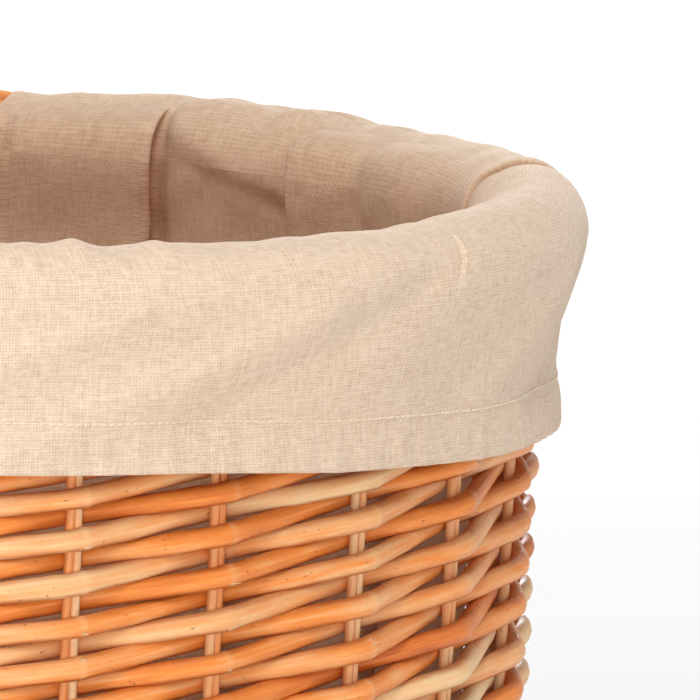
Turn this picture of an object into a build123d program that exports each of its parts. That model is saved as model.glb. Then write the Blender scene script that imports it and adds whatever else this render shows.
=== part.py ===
"""Round willow laundry basket with two hooped handles and a loose cloth liner.

Units are millimetres. +Z is up and the floor is z = 0. The origin is the centre of the foot.
The two handles stand on the rim at -Y and +Y. Angles are measured from -Y towards +X.
Each woven band is one closed ring with a slot for every stake, as the rods of a band grip it.
"""

from build123d import *

import os
from math import atan2, cos, radians, sin, tan

# ---- driving dimensions ----
STAKE_COUNT = 26
STAKE_PHASE = 10.1  # degrees from -Y to the first stake
STAKE_RADIUS = 1.4
STAKE_PITCH = 2.9  # between a stake and its bye-stake, side by side
SLOT_CLEARANCE = 0.2

FOOT_TOP = 16.0
BASE_TOP = 32.0
UPSET_BOTTOM = 34.0
UPSET_TOP = 50.0
RAND_TOPS = (182.0, 314.0, 446.0)
WALE_TOP = 472.0  # the rim border lies on the top wale
STAKE_TOP = 481.0

STAKE_LEVEL = 28.6  # where a stake runs flat inside the base
STAKE_INNER_END = 150.0  # how near the axis its flat end reaches
STAKE_BEND = 6.0
STAKE_RADIUS_LOW = 198.0  # stake circle at STAKE_LEVEL
STAKE_RADIUS_HIGH = 207.6  # stake circle at WALE_TOP
WALL_HALF = 6.3  # half the thickness of the woven wall

RIM_RADIUS = 209.0  # centre line of the rim border
RIM_HEIGHT = 484.5
RIM_TUBE = 14.4

BASE_RADIUS = 189.7
FOOT_INNER, FOOT_OUTER = 187.7, 204.7
FOOT_ROUNDING = 5.0
SPOKE_LEVEL = 22.5
SPOKE_ANGLE = 11.25  # 16 spokes, 22.5 degrees apart
SLIT_STICK_RADIUS = 4.2
THREADED_STICK_RADIUS = 2.8
STICK_END = 186.0
STICK_GAP = 0.3
STICK_CLEARANCE = 0.15
STICK_BEND = 15.0
CROSSING = 20.0  # the sticks are straight this far from the middle
SLIT_LENGTH, SLIT_HEIGHT = 25.2, 6.0
WEAVE_START = 22.0  # the sticks are woven round from this radius outwards

HANDLE_HALF = 44.0  # from the handle's middle to each foot
HANDLE_LEAN = 8.0  # degrees outward
HANDLE_TOP = 548.0
HANDLE_CORE = 4.0
HANDLE_WRAP = 6.5
HANDLE_FOOT = 372.0  # how far down the wall the feet reach
HANDLE_BEND = 497.0  # where it starts to lean out
HANDLE_CORNER = 40.0
HANDLE_KNEE = 60.0
WRAP_START = 501.0
WRAP_GAP = 0.1

CLOTH = 0.8
BAG_RADIUS_LOW = 188.5
BAG_RADIUS_HIGH = 193.5
ROLL_INNER = RIM_TUBE + 1.1
ROLL_OUTER = ROLL_INNER + CLOTH
CUFF_BOTTOM = 423.0
HEM_HEIGHT = 13.0
NOTCH_HALF = 15.7  # degrees, half of the gap in the cuff round each handle
CLEARANCE = 0.3

UP = Axis.Z


def stake_circle(z):
    """Radius of the stake circle at height z."""
    share = (z - STAKE_LEVEL) / (WALE_TOP - STAKE_LEVEL)
    return STAKE_RADIUS_LOW + share * (STAKE_RADIUS_HIGH - STAKE_RADIUS_LOW)


def turned(shape, angle):
    """The shape, made on the +X side, turned to an angle counted from -Y towards +X."""
    return shape.rotate(UP, angle - 90)


def stake_angles():
    return [STAKE_PHASE + i * 360 / STAKE_COUNT for i in range(STAKE_COUNT)]


def ring(points):
    """A solid of revolution about Z from (radius, height) corners."""
    return revolve(Plane.XZ * make_face(Polyline(*points, close=True)), UP, 360)


def tube(path, radius):
    """A round rod along a path."""
    return sweep(Plane(origin=path @ 0, z_dir=path % 0) * Circle(radius), path=path)


# ---- stakes ----
def stake():
    """A stake that runs flat into the base and bends up, and its bye-stake, which starts above the bend."""
    side = STAKE_PITCH / 2
    flat_end = (STAKE_INNER_END, -side, STAKE_LEVEL)
    corner = (STAKE_RADIUS_LOW, -side, STAKE_LEVEL)
    top = (stake_circle(STAKE_TOP), -side, STAKE_TOP)
    path = FilletPolyline(flat_end, corner, top, radius=STAKE_BEND)
    low = (stake_circle(UPSET_BOTTOM), side, UPSET_BOTTOM + CLEARANCE)
    bye = Line(low, (stake_circle(STAKE_TOP), side, STAKE_TOP))
    return Compound([tube(path, STAKE_RADIUS).solid(), tube(bye, STAKE_RADIUS).solid()])


def stake_slots():
    """The slots that the stakes and bye-stakes fill, from the upset to the border."""
    low, high = UPSET_BOTTOM - 1, STAKE_TOP + 1
    start = Vector(stake_circle(low), 0, low)
    lean = Vector(stake_circle(high), 0, high) - start
    width = 2 * (STAKE_RADIUS + SLOT_CLEARANCE)
    outline = Plane(start) * Rot(0, 0, 90) * SlotCenterToCenter(STAKE_PITCH, width)
    slot = extrude(outline, amount=lean.length, dir=lean.normalized())
    return [turned(slot, angle) for angle in stake_angles()]


def stake_sockets():
    """The holes in the base that the flat ends of the stakes are pushed into."""
    start, end = STAKE_INNER_END - CLEARANCE, STAKE_RADIUS_LOW
    hole = Cylinder(STAKE_RADIUS + SLOT_CLEARANCE, end - start, rotation=(0, 90, 0))
    hole = Pos((start + end) / 2, -STAKE_PITCH / 2, STAKE_LEVEL) * hole
    return [turned(hole, angle) for angle in stake_angles()]


# ---- woven bands ----
def band(low, high):
    """A woven band of the wall, still without its slots."""
    inner_low, inner_high = stake_circle(low) - WALL_HALF, stake_circle(high) - WALL_HALF
    outer_low, outer_high = stake_circle(low) + WALL_HALF, stake_circle(high) + WALL_HALF
    return ring([(inner_low, low), (outer_low, low), (outer_high, high), (inner_high, high)])


def rim_border():
    """The rolled border: a round bundle, flat below where it lies on the top wale."""
    roll = Pos(0, 0, RIM_HEIGHT) * Torus(RIM_RADIUS, RIM_TUBE)
    reach = 2 * (RIM_RADIUS + RIM_TUBE)
    below = Pos(0, 0, WALE_TOP - reach / 2) * Box(reach, reach, reach)
    return roll - below


def foot_border():
    """The rolled foot that the basket stands on."""
    middle = Pos((FOOT_INNER + FOOT_OUTER) / 2, FOOT_TOP / 2)
    profile = middle * RectangleRounded(FOOT_OUTER - FOOT_INNER, FOOT_TOP, FOOT_ROUNDING)
    return revolve(Plane.XZ * profile, UP, 360)


def foot_wale():
    """Rods outside the bends of the stakes, between the foot and the upset."""
    inner, outer = STAKE_RADIUS_LOW + STAKE_RADIUS + 2 * CLEARANCE, FOOT_OUTER
    return ring([(inner, FOOT_TOP), (outer, FOOT_TOP), (outer, UPSET_BOTTOM), (inner, UPSET_BOTTOM)])


# ---- base ----
def stick_path(offset, angle):
    """Middle line of a base stick along X: straight over the crossing, then opened out to its spoke angle."""
    end_x, end_y = STICK_END * cos(radians(angle)), STICK_END * sin(radians(angle))
    points = [
        (-end_x, end_y, SPOKE_LEVEL),
        (-CROSSING, offset, SPOKE_LEVEL),
        (CROSSING, offset, SPOKE_LEVEL),
        (end_x, end_y, SPOKE_LEVEL),
    ]
    return FilletPolyline(*points, radius=STICK_BEND)


def base_sticks(extra=0.0):
    """Four slit sticks along X and four sticks along Y threaded through the slits. extra widens them all."""
    made = {}
    slit = Pos(0, 0, SPOKE_LEVEL) * Box(SLIT_LENGTH, 2 * CROSSING, SLIT_HEIGHT)
    for kind, radius in (("slit", SLIT_STICK_RADIUS), ("threaded", THREADED_STICK_RADIUS)):
        gap = 2 * radius + STICK_GAP
        for number, side in enumerate((-1.5, -0.5, 0.5, 1.5), 1):
            angle = SPOKE_ANGLE * (3 if abs(side) > 1 else 1)
            angle = angle if side > 0 else -angle
            stick = tube(stick_path(side * gap, angle), radius + extra)
            if kind == "slit" and not extra:
                stick = stick - slit
            if kind == "threaded":
                stick = stick.rotate(UP, 90)
            made[f"base_stick_{kind}_{number}"] = stick
    return made


def base_weave(cutters):
    """The rods woven round the sticks, cut where the sticks and the stakes pass."""
    inner, outer = WEAVE_START, BASE_RADIUS
    body = ring([(inner, FOOT_TOP), (outer, FOOT_TOP), (outer, BASE_TOP), (inner, BASE_TOP)])
    return body - cutters


# ---- handles ----
def handle_foot(z):
    """Centre of the right foot of the back handle at height z."""
    angle = atan2(HANDLE_HALF, (stake_circle(WALE_TOP) ** 2 - HANDLE_HALF**2) ** 0.5)
    radius = stake_circle(z)
    return Vector(radius * sin(angle), radius * cos(angle), z)


def leaned(z):
    """A point of the right leg of the hoop above the border."""
    foot = handle_foot(HANDLE_BEND)
    return Vector(foot.X, foot.Y + (z - HANDLE_BEND) * tan(radians(HANDLE_LEAN)), z)


def mirrored(point):
    return Vector(-point.X, point.Y, point.Z)


def handle_core(radius):
    """The bent bow of a handle, with both feet."""
    right = [handle_foot(HANDLE_FOOT), handle_foot(HANDLE_BEND), leaned(HANDLE_TOP)]
    points = right + [mirrored(p) for p in reversed(right)]
    corners = [HANDLE_KNEE, HANDLE_CORNER, HANDLE_CORNER, HANDLE_KNEE]
    return tube(FilletPolyline(*points, radius=corners), radius)


def handle_wrap():
    """The rods wound round the bow, as one sleeve."""
    right = [leaned(WRAP_START), leaned(HANDLE_TOP)]
    points = right + [mirrored(p) for p in reversed(right)]
    path = FilletPolyline(*points, radius=HANDLE_CORNER)
    return tube(path, HANDLE_WRAP) - handle_core(HANDLE_CORE + WRAP_GAP)


# ---- liner ----
def liner_wall():
    """The hanging bag, from its floor to the inside of the rim."""
    low, high = BASE_TOP + CLEARANCE, RIM_HEIGHT
    outside = [(BAG_RADIUS_LOW, low), (BAG_RADIUS_HIGH, high)]
    inside = [(BAG_RADIUS_HIGH - CLOTH, high), (BAG_RADIUS_LOW - CLOTH, low)]
    return ring(outside + inside)


def liner_floor():
    low = BASE_TOP + CLEARANCE
    return Pos(0, 0, low + CLOTH / 2) * Cylinder(BAG_RADIUS_LOW - CLOTH, CLOTH)


def cuff_sector(profile, side):
    """A profile revolved between the two handle notches. side is +1 for +X and -1 for -X."""
    sweep_angle = 180 - 2 * NOTCH_HALF
    solid = revolve(Plane.XZ * profile, UP, sweep_angle)
    start = NOTCH_HALF if side > 0 else 180 + NOTCH_HALF
    return turned(solid, start)


def cuff_profile():
    """Cloth that turns over the rim and hangs down outside it."""
    inside = (RIM_RADIUS - ROLL_INNER, RIM_HEIGHT)
    outside = (RIM_RADIUS + ROLL_INNER, RIM_HEIGHT)
    over = ThreePointArc(inside, (RIM_RADIUS, RIM_HEIGHT + ROLL_INNER), outside)
    back = ThreePointArc(
        (RIM_RADIUS + ROLL_OUTER, RIM_HEIGHT),
        (RIM_RADIUS, RIM_HEIGHT + ROLL_OUTER),
        (RIM_RADIUS - ROLL_OUTER, RIM_HEIGHT),
    )
    down = Polyline(
        outside,
        (RIM_RADIUS + ROLL_INNER, CUFF_BOTTOM),
        (RIM_RADIUS + ROLL_OUTER, CUFF_BOTTOM),
        (RIM_RADIUS + ROLL_OUTER, RIM_HEIGHT),
    )
    end = Line((RIM_RADIUS - ROLL_OUTER, RIM_HEIGHT), inside)
    return make_face(Wire([*over.edges(), *down.edges(), *back.edges(), *end.edges()]))


def hem_profile():
    """The turned-up edge of the cuff, against its inside."""
    outer = RIM_RADIUS + ROLL_INNER
    inner = outer - CLOTH
    top = CUFF_BOTTOM + HEM_HEIGHT
    corners = [(inner, CUFF_BOTTOM), (outer, CUFF_BOTTOM), (outer, top), (inner, top)]
    return make_face(Polyline(*corners, close=True))


def build():
    """Every node by name."""
    parts = {}
    slots = stake_slots()
    foot_hole = handle_core(HANDLE_CORE + SLOT_CLEARANCE)
    foot_holes = [foot_hole, foot_hole.rotate(UP, 180)]

    one_stake = stake()
    for number, angle in enumerate(stake_angles(), 1):
        parts[f"stake_{number:02d}"] = turned(one_stake, angle)

    sticks = base_sticks()
    parts.update(sticks)
    wide_sticks = list(base_sticks(extra=STICK_CLEARANCE).values())
    parts["base_weave"] = base_weave(wide_sticks + stake_sockets())

    parts["foot_border"] = foot_border()
    parts["foot_wale"] = foot_wale()
    parts["upset_wale"] = band(UPSET_BOTTOM, UPSET_TOP) - slots
    lows = (UPSET_TOP, *RAND_TOPS[:-1])
    names = ("randing_lower", "randing_middle", "randing_upper")
    for name, low, high in zip(names, lows, RAND_TOPS):
        cutters = slots + foot_holes if high > HANDLE_FOOT else slots
        parts[name] = band(low, high) - cutters
    parts["top_wale"] = band(RAND_TOPS[-1], WALE_TOP) - slots - foot_holes
    parts["rim_border"] = rim_border() - slots - foot_holes

    core, wrap = handle_core(HANDLE_CORE), handle_wrap()
    parts["handle_back_bow"], parts["handle_back_wrap"] = core, wrap
    parts["handle_front_bow"] = core.rotate(UP, 180)
    parts["handle_front_wrap"] = wrap.rotate(UP, 180)

    parts["liner_wall"] = liner_wall()
    parts["liner_floor"] = liner_floor()
    for name, side in (("right", 1), ("left", -1)):
        parts[f"liner_cuff_{name}"] = cuff_sector(cuff_profile(), side)
        parts[f"liner_hem_{name}"] = cuff_sector(hem_profile(), side)
    return parts


def main():
    os.makedirs("parts", exist_ok=True)
    for name, shape in build().items():
        export_step(Compound(list(shape.solids())), f"parts/{name}.step")


main()
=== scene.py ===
"""Looks of the lined willow laundry basket: woven rods, rolled border, wrapped handles and a linen liner.

Lengths inside the helpers are millimetres; build_mesh turns them into metres.
Angles theta are degrees from the front (-Y) towards +X, as in the CAD model.
"""
from math import cos, pi, radians, sin, tan

import bpy
import numpy as np
from mathutils import Matrix, Vector


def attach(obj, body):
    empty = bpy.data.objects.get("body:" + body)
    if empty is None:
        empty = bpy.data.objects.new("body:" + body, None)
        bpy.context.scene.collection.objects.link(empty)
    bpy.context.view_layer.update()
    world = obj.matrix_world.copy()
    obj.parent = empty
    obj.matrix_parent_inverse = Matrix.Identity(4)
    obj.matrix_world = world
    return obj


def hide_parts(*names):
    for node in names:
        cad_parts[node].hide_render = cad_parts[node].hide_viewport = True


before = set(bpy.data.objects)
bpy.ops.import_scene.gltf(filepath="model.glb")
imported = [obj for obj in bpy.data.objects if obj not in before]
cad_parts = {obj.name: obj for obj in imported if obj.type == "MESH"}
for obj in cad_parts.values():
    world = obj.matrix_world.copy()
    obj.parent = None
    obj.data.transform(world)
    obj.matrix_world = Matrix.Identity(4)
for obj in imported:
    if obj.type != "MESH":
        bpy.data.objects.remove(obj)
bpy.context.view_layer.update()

RNG = np.random.default_rng(41)

# ---- sizes in mm, after the CAD model ----
STAKES = 26
STAKE_PHASE = 10.1
STAKE_STEP = 360 / STAKES
RIM_RADIUS = 209.0
RIM_HEIGHT = 484.5
STAKE_ROD = 1.42  # radius of a stake, and of its bye-stake
STAKE_SIDE = 1.26  # half the distance between the two
STAKE_FOOT = 28.6  # height at which the stakes leave the base
BASE_HEIGHT = 22.5  # height of the base sticks' middle lines
SLIT_RADIUS = 4.2  # radii of the two kinds of base stick
THREADED_RADIUS = 2.8
SPOKES = 16


def stake_circle(z):
    """Radius of the stake circle at height z."""
    return 198.0 + (np.asarray(z, float) - STAKE_FOOT) / (472 - STAKE_FOOT) * 9.6


SETTLED = np.random.default_rng(8).normal(0, 0.45, STAKES)
SETTLED[1:6] = (-0.75, -1.75, -0.55, -0.05, 2.0)  # the stakes are never quite evenly spaced


def stake_angle(index):
    """Angle of a stake; whole numbers past the last one carry on round."""
    index = np.asarray(index)
    return STAKE_PHASE + index * STAKE_STEP + SETTLED[index % STAKES]


def outward(theta):
    """Unit vectors pointing away from the axis at the angle theta."""
    a = np.radians(theta)
    return np.stack([np.sin(a), -np.cos(a), np.zeros_like(a)], axis=-1)


def around(theta):
    """Unit vectors along the wall, towards larger theta."""
    a = np.radians(theta)
    return np.stack([np.cos(a), np.sin(a), np.zeros_like(a)], axis=-1)


def at(theta, radius, z):
    """Points from cylindrical coordinates."""
    theta, radius, z = np.broadcast_arrays(np.asarray(theta, float), radius, z)
    p = outward(theta) * radius[..., None]
    p[..., 2] = z
    return p


def unit(vectors):
    return vectors / (np.linalg.norm(vectors, axis=1)[:, None] + 1e-12)


def off_axis(path):
    """Level unit vectors from the axis towards the points of a path."""
    return unit(path * np.array([1, 1, 0]))


def square_frame(path, facing):
    """For each point of a path, the facing direction made square to it, and the one square to both."""
    tangent = unit(np.gradient(path, axis=0))
    facing = unit(facing - tangent * np.sum(facing * tangent, axis=1)[:, None])
    return facing, np.cross(facing, tangent)


def smoothstep(x, lo, hi):
    """0 up to lo, 1 from hi on, and a smooth rise between them."""
    t = np.clip((x - lo) / (hi - lo), 0, 1)
    return t * t * (3 - 2 * t)


def between(x, start, full, fade, end):
    """0 up to start, 1 from full to fade, and 0 again from end on."""
    return smoothstep(x, start, full) * (1 - smoothstep(x, fade, end))


def bump(x, middle, width):
    """A bell curve of height 1."""
    return np.exp(-(((x - middle) / width) ** 2))


def angle_gap(theta, middle):
    """Degrees from middle to theta, the short way round."""
    return (theta - middle + 180) % 360 - 180


class Waves:
    """Smooth noise on a ring: sines with whole numbers of waves round it."""

    def __init__(self, seed, count, around_range, length_range):
        r = np.random.default_rng(seed)
        self.m = r.integers(around_range[0], around_range[1] + 1, count)
        self.k = 2 * pi / r.uniform(*length_range, count) * r.choice([-1, 1], count)
        self.phase = r.uniform(0, 2 * pi, count)
        self.size = r.uniform(0.5, 1.0, count) / np.sqrt(count)

    def __call__(self, theta, s):
        a = np.radians(theta)
        total = 0
        for m, k, p, size in zip(self.m, self.k, self.phase, self.size):
            total = total + size * np.sin(m * a + k * s + p)
        return total * 1.7


# ---- mesh making ----
CAP_UV = 0.0006  # radius of a rod's end in its UV map, in metres


def add_object(name, data):
    """A new object in the scene."""
    made = bpy.data.objects.new(name, data)
    bpy.context.scene.collection.objects.link(made)
    return made


def build_mesh(name, points, faces, uv, attributes, material):
    """A mesh object from points in mm, faces, UVs in metres for each face corner, and point attributes."""
    mesh = bpy.data.meshes.new(name)
    mesh.from_pydata((np.asarray(points) * 0.001).tolist(), [], faces)
    layer = mesh.uv_layers.new(name="UVMap")
    layer.data.foreach_set("uv", np.asarray(uv, dtype=np.float32).ravel())
    for key, values in attributes.items():
        attribute = mesh.attributes.new(key, "FLOAT", "POINT")
        attribute.data.foreach_set("value", np.asarray(values, dtype=np.float32))
    mesh.polygons.foreach_set("use_smooth", [True] * len(mesh.polygons))
    mesh.materials.append(material)
    mesh.update()
    return add_object(name, mesh)


class Bundle:
    """Many rods gathered into one mesh.

    Point attributes: tone is the rod's own shade, kink is 1 where it cracks over a stake and gets pale
    fibres with a painted highlight, and flank is 1 along its underside and 0 along its face and masks the
    painted shade there.
    """

    def __init__(self):
        self.points, self.faces, self.uv = [], [], []
        self.tone, self.kink, self.flank, self.start = [], [], [], 0

    def rod(self, path, up, out, facing, tone, kink=None, sides=10, caps=(True, True), offset=None):
        """A rod along path, with the half sizes up and out; out lies along facing.

        Each of them is one value for the whole rod or one for every point.
        """
        n = len(path)
        up, out = np.broadcast_to(up, n), np.broadcast_to(out, n)
        kink = np.zeros(n) if kink is None else kink
        facing, rising = square_frame(path, facing)
        steps = np.concatenate([[0], np.cumsum(np.linalg.norm(np.diff(path, axis=0), axis=1))])
        phase = np.arange(sides) * 2 * pi / sides
        ring = (path[:, None, :] + facing[:, None, :] * (out[:, None] * np.cos(phase))[..., None]
                + rising[:, None, :] * (up[:, None] * np.sin(phase))[..., None])
        self.points.append(ring.reshape(-1, 3))
        shift = RNG.uniform(0, 40) if offset is None else offset
        u = steps * 0.001 + shift
        girth = 2 * pi * float(np.mean(up)) * 0.001
        i = np.arange(n - 1)[:, None]
        j = np.arange(sides)[None, :]
        k = (j + 1) % sides
        quads = np.stack([i * sides + j, (i + 1) * sides + j, (i + 1) * sides + k, i * sides + k], axis=-1)
        self.faces.extend((quads.reshape(-1, 4) + self.start).tolist())
        u0, u1 = u[:-1, None], u[1:, None]
        v0 = j / sides * girth
        v1 = v0 + girth / sides
        corners = np.broadcast_arrays(u0, v0, u1, v0, u1, v1, u0, v1)
        self.uv.append(np.stack(corners, axis=-1).reshape(-1, 2))
        ends = ((0, range(sides)[::-1], caps[0]), (n - 1, range(sides), caps[1]))
        for row, order, wanted in ends:
            if wanted:
                self.faces.append([self.start + row * sides + a for a in order])
                flat = [[u[row] + CAP_UV * cos(phase[a]), CAP_UV * sin(phase[a])] for a in order]
                self.uv.append(np.array(flat))
        self.tone.append(np.full(n * sides, tone))
        self.kink.append(np.repeat(kink, sides))
        # flank masks the painted shade: full along the underside, a little less along the top
        self.flank.append(np.tile(np.abs(np.sin(phase)) ** 3 * np.where(np.sin(phase) < 0, 1.0, 0.8), n))
        self.start += n * sides

    def object(self, name, material):
        attributes = {"tone": np.concatenate(self.tone), "kink": np.concatenate(self.kink),
                      "flank": np.concatenate(self.flank)}
        return build_mesh(name, np.concatenate(self.points), self.faces, np.concatenate(self.uv),
                          attributes, material)


def resample(values, s, fine):
    """Rows of values, known at the lengths s, read off at the lengths fine."""
    return np.column_stack([np.interp(fine, s, column) for column in values.T])


def smooth_path(corners, step, sigma, extra=None):
    """A dense path through corner points with rounded kinks; extra columns ride along."""
    gaps = np.linalg.norm(np.diff(corners, axis=0), axis=1)
    s = np.concatenate([[0], np.cumsum(gaps)])
    dense = np.arange(0, s[-1], step)
    data = corners if extra is None else np.column_stack([corners, extra])
    out = resample(data, s, dense)
    half = max(1, int(3 * sigma / step))
    kernel = np.exp(-0.5 * (np.arange(-half, half + 1) * step / sigma) ** 2)
    kernel /= kernel.sum()
    padded = np.pad(out, ((half, half), (0, 0)), mode="reflect", reflect_type="odd")
    out = np.column_stack([np.convolve(column, kernel, "valid") for column in padded.T])
    return dense, out, s


def eased(corners, step, sigma, every):
    """A path through corner points with rounded kinks, thinned out, and the length at each of its points."""
    dense, data, _ = smooth_path(corners, step, sigma)
    return dense[::every], data[::every]


# ---- node graphs ----
def srgb(r, g, b):
    """Linear colour from 0-255 values."""
    def lin(c):
        c /= 255
        return c / 12.92 if c <= 0.04045 else ((c + 0.055) / 1.055) ** 2.4
    return (lin(r), lin(g), lin(b), 1)


class Graph:
    """Short ways to make and link shader nodes."""

    def __init__(self, name):
        self.material = bpy.data.materials.new(name)
        self.material.use_nodes = True
        self.tree = self.material.node_tree
        self.shader = self.tree.nodes["Principled BSDF"]
        self.u, self.v, _ = self.node("SeparateXYZ", self.node("UVMap")[0])

    def put(self, socket, value):
        if isinstance(value, bpy.types.NodeSocket):
            self.tree.links.new(value, socket)
        elif value is not None:
            socket.default_value = value

    def node(self, kind, *values, **settings):
        """A new node's outputs. The values go to its inputs in turn, and None leaves one as it is."""
        made = self.tree.nodes.new("ShaderNode" + kind)
        for key, setting in settings.items():
            setattr(made, key, setting)
        for socket, value in zip(made.inputs, values):
            self.put(socket, value)
        return made.outputs

    def math(self, kind, a, b=None):
        return self.node("Math", a, b, operation=kind)[0]

    def add(self, a, b):
        return self.math("ADD", a, b)

    def mul(self, a, b):
        return self.math("MULTIPLY", a, b)

    def attribute(self, name):
        return self.node("Attribute", attribute_name=name)["Fac"]

    def noise(self, vector, scale, detail, rough=0.5):
        return self.node("TexNoise", vector, None, scale, detail, rough)["Fac"]

    def grain(self, along, across, seed, detail, rough=0.5):
        """Noise on the UV map, finer the larger along and across are."""
        where = self.node("CombineXYZ", self.mul(self.u, along), self.mul(self.v, across), seed)[0]
        return self.noise(where, 1.0, detail, rough)

    def total(self, *parts):
        """Sum of values, each times its share."""
        level = self.mul(*parts[0])
        for part in parts[1:]:
            level = self.add(level, self.mul(*part))
        return level

    def ramp(self, fac, *stops):
        node = self.tree.nodes.new("ShaderNodeValToRGB")
        elements = node.color_ramp.elements
        while len(elements) < len(stops):
            elements.new(0.5)
        for element, (position, color) in zip(elements, stops):
            element.position, element.color = position, color
        self.put(node.inputs[0], fac)
        return node.outputs[0]

    def band(self, value, lo, hi, to_lo=0.0, to_hi=1.0):
        """to_lo at lo, to_hi at hi, and a smooth change between them."""
        return self.node("MapRange", value, lo, hi, to_lo, to_hi, interpolation_type="SMOOTHSTEP")[0]

    def mix(self, fac, a, b, kind="MIX"):
        node = self.tree.nodes.new("ShaderNodeMix")
        node.data_type, node.blend_type = "RGBA", kind
        self.put(node.inputs["Factor"], fac)
        self.put(node.inputs[6], a)
        self.put(node.inputs[7], b)
        return node.outputs[2]

    def bumped(self, height, strength, distance):
        node = self.tree.nodes.new("ShaderNodeBump")
        for key, value in (("Strength", strength), ("Distance", distance), ("Height", height)):
            self.put(node.inputs[key], value)
        return node.outputs[0]

    def translucent(self, color, share):
        """Let a share of the light through the cloth."""
        through = self.node("BsdfTranslucent", color)[0]
        mixed = self.node("MixShader", share, self.shader.outputs[0], through)[0]
        self.put(self.tree.nodes["Material Output"].inputs["Surface"], mixed)
        return self.material

    def finish(self, color, roughness, normal=None, **settings):
        self.put(self.shader.inputs["Base Color"], color)
        self.put(self.shader.inputs["Roughness"], roughness)
        self.put(self.shader.inputs["Normal"], normal)
        for key, value in settings.items():
            self.shader.inputs[key].default_value = value
        return self.material


def willow_material(name, dark, middle, light, rough=0.46, shade_and_varnish_weight=1.0):
    """Varnished willow: lengthwise grain, blotches, small nodes, and paler cracked fibres at the kinks that
    also serve as a painted highlight.

    The last argument sets how much painted shade, with some pooled varnish, darkens the sides and undersides
    of the rods.
    """
    g = Graph(name)
    tone, kink = g.attribute("tone"), g.attribute("kink")
    seed = g.mul(tone, 37.0)
    streaks = g.grain(24.0, 700.0, seed, 3.0, 0.55)
    blotch = g.grain(45.0, 150.0, seed, 3.0, 0.55)
    slow = g.grain(16.0, 0.0, seed, 2.0)
    specks = g.grain(420.0, 700.0, seed, 2.0, 0.5)
    level = g.total((tone, 0.56), (blotch, 0.46), (streaks, 0.32), (slow, 0.36))
    level = g.add(level, -0.27)
    color = g.ramp(level, (0.16, dark), (0.50, middle), (0.82, light))
    # varnish gathers and darkens where the rods touch
    # painted shade, with some pooled varnish: the rods darken where they touch and along their undersides
    shade_and_varnish = g.mul(g.attribute("flank"), g.band(blotch, 0.25, 0.75, 0.85, 0.45))
    color = g.mix(g.mul(shade_and_varnish, shade_and_varnish_weight), color, srgb(126, 38, 6))
    dots = g.band(specks, 0.70, 0.76)
    color = g.mix(g.mul(dots, 0.6), color, srgb(96, 44, 20))
    # pale cracked fibres at the kinks, also a painted highlight where each rod bends over a stake
    fibres = g.grain(90.0, 1500.0, seed, 2.0, 0.5)
    pale = g.mul(g.mul(kink, g.band(fibres, 0.35, 0.65, 0.5, 1.0)), 0.5)
    color = g.mix(pale, color, srgb(255, 212, 160))
    height = g.total((streaks, 0.9), (blotch, 1.1), (g.mul(kink, fibres), 1.2))
    normal = g.bumped(height, 0.6, 0.0004)
    roughness = g.band(blotch, 0.2, 0.8, rough - 0.08, rough + 0.12)
    settings = {"Specular IOR Level": 0.36, "Coat Weight": 0.12, "Coat Roughness": 0.3}
    return g.finish(color, roughness, normal, **settings)


WEFT_PITCH = 0.00086  # metres from thread to thread of the linen
WARP_PITCH = 0.00080


def linen_material(name, base, shade, light):
    """Plain-woven linen: threads both ways with slubs, pinholes between them, and painted warm shade inside
    the basket.
    """
    g = Graph(name)
    wander = g.math("SUBTRACT", g.grain(16.0, 16.0, 0.0, 3.0), 0.5)
    weft = g.mul(g.add(g.v, g.mul(wander, 0.0030)), pi / WEFT_PITCH)
    warp = g.mul(g.add(g.u, g.mul(wander, 0.0022)), pi / WARP_PITCH)
    weft_wave = g.math("ABSOLUTE", g.math("SINE", weft))
    warp_wave = g.math("ABSOLUTE", g.math("SINE", warp))
    over = g.math("MULTIPLY", g.math("SINE", warp), g.math("SINE", weft))
    slub = g.grain(170.0, 1163.0, 3.0, 2.0, 0.6)
    slub_up = g.grain(1250.0, 130.0, 8.0, 2.0, 0.6)
    mottled = g.grain(330.0, 420.0, 1.0, 3.0, 0.6)
    cloudy = g.grain(14.0, 18.0, 5.0, 3.0, 0.5)
    level = g.total((slub, 0.28), (slub_up, 0.28), (mottled, 0.20), (cloudy, 0.10),
                    (weft_wave, 0.07), (warp_wave, 0.05))
    color = g.ramp(level, (0.35, shade), (0.55, base), (0.76, light))
    open_weave = g.grain(30.0, 45.0, 21.0, 3.0, 0.6)
    pin = g.mul(g.band(weft_wave, 0.58, 0.10), g.band(warp_wave, 0.62, 0.12))
    uneven = g.grain(700.0, 700.0, 2.0, 1.0)
    pin = g.mul(pin, g.band(uneven, 0.38, 0.56))
    pin = g.mul(pin, g.band(g.attribute("inside"), 0.0, 0.5, 1.0, 0.2))
    color = g.mix(g.mul(pin, g.band(open_weave, 0.40, 0.64, 0.12, 0.9)), color, srgb(150, 112, 78))
    fleck = g.band(g.grain(160.0, 900.0, 11.0, 1.0), 0.73, 0.79)
    color = g.mix(g.mul(fleck, 0.35), color, srgb(176, 138, 96))
    # painted shade inside the basket: darker and warmer, like light bounced off the willow
    color = g.mix(g.mul(g.attribute("inside"), 0.92), color, (1.0, 0.90, 0.81, 1), "MULTIPLY")
    height = g.total((weft_wave, 0.3), (over, 0.45), (slub, 0.8), (slub_up, 0.8), (pin, -0.7))
    normal = g.bumped(height, 0.5, 0.00024)
    settings = {"Specular IOR Level": 0.2, "Sheen Weight": 0.2, "Sheen Roughness": 0.5}
    g.finish(color, 0.9, normal, **settings)
    return g.translucent(color, g.mul(g.attribute("inside"), 0.3))


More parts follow.
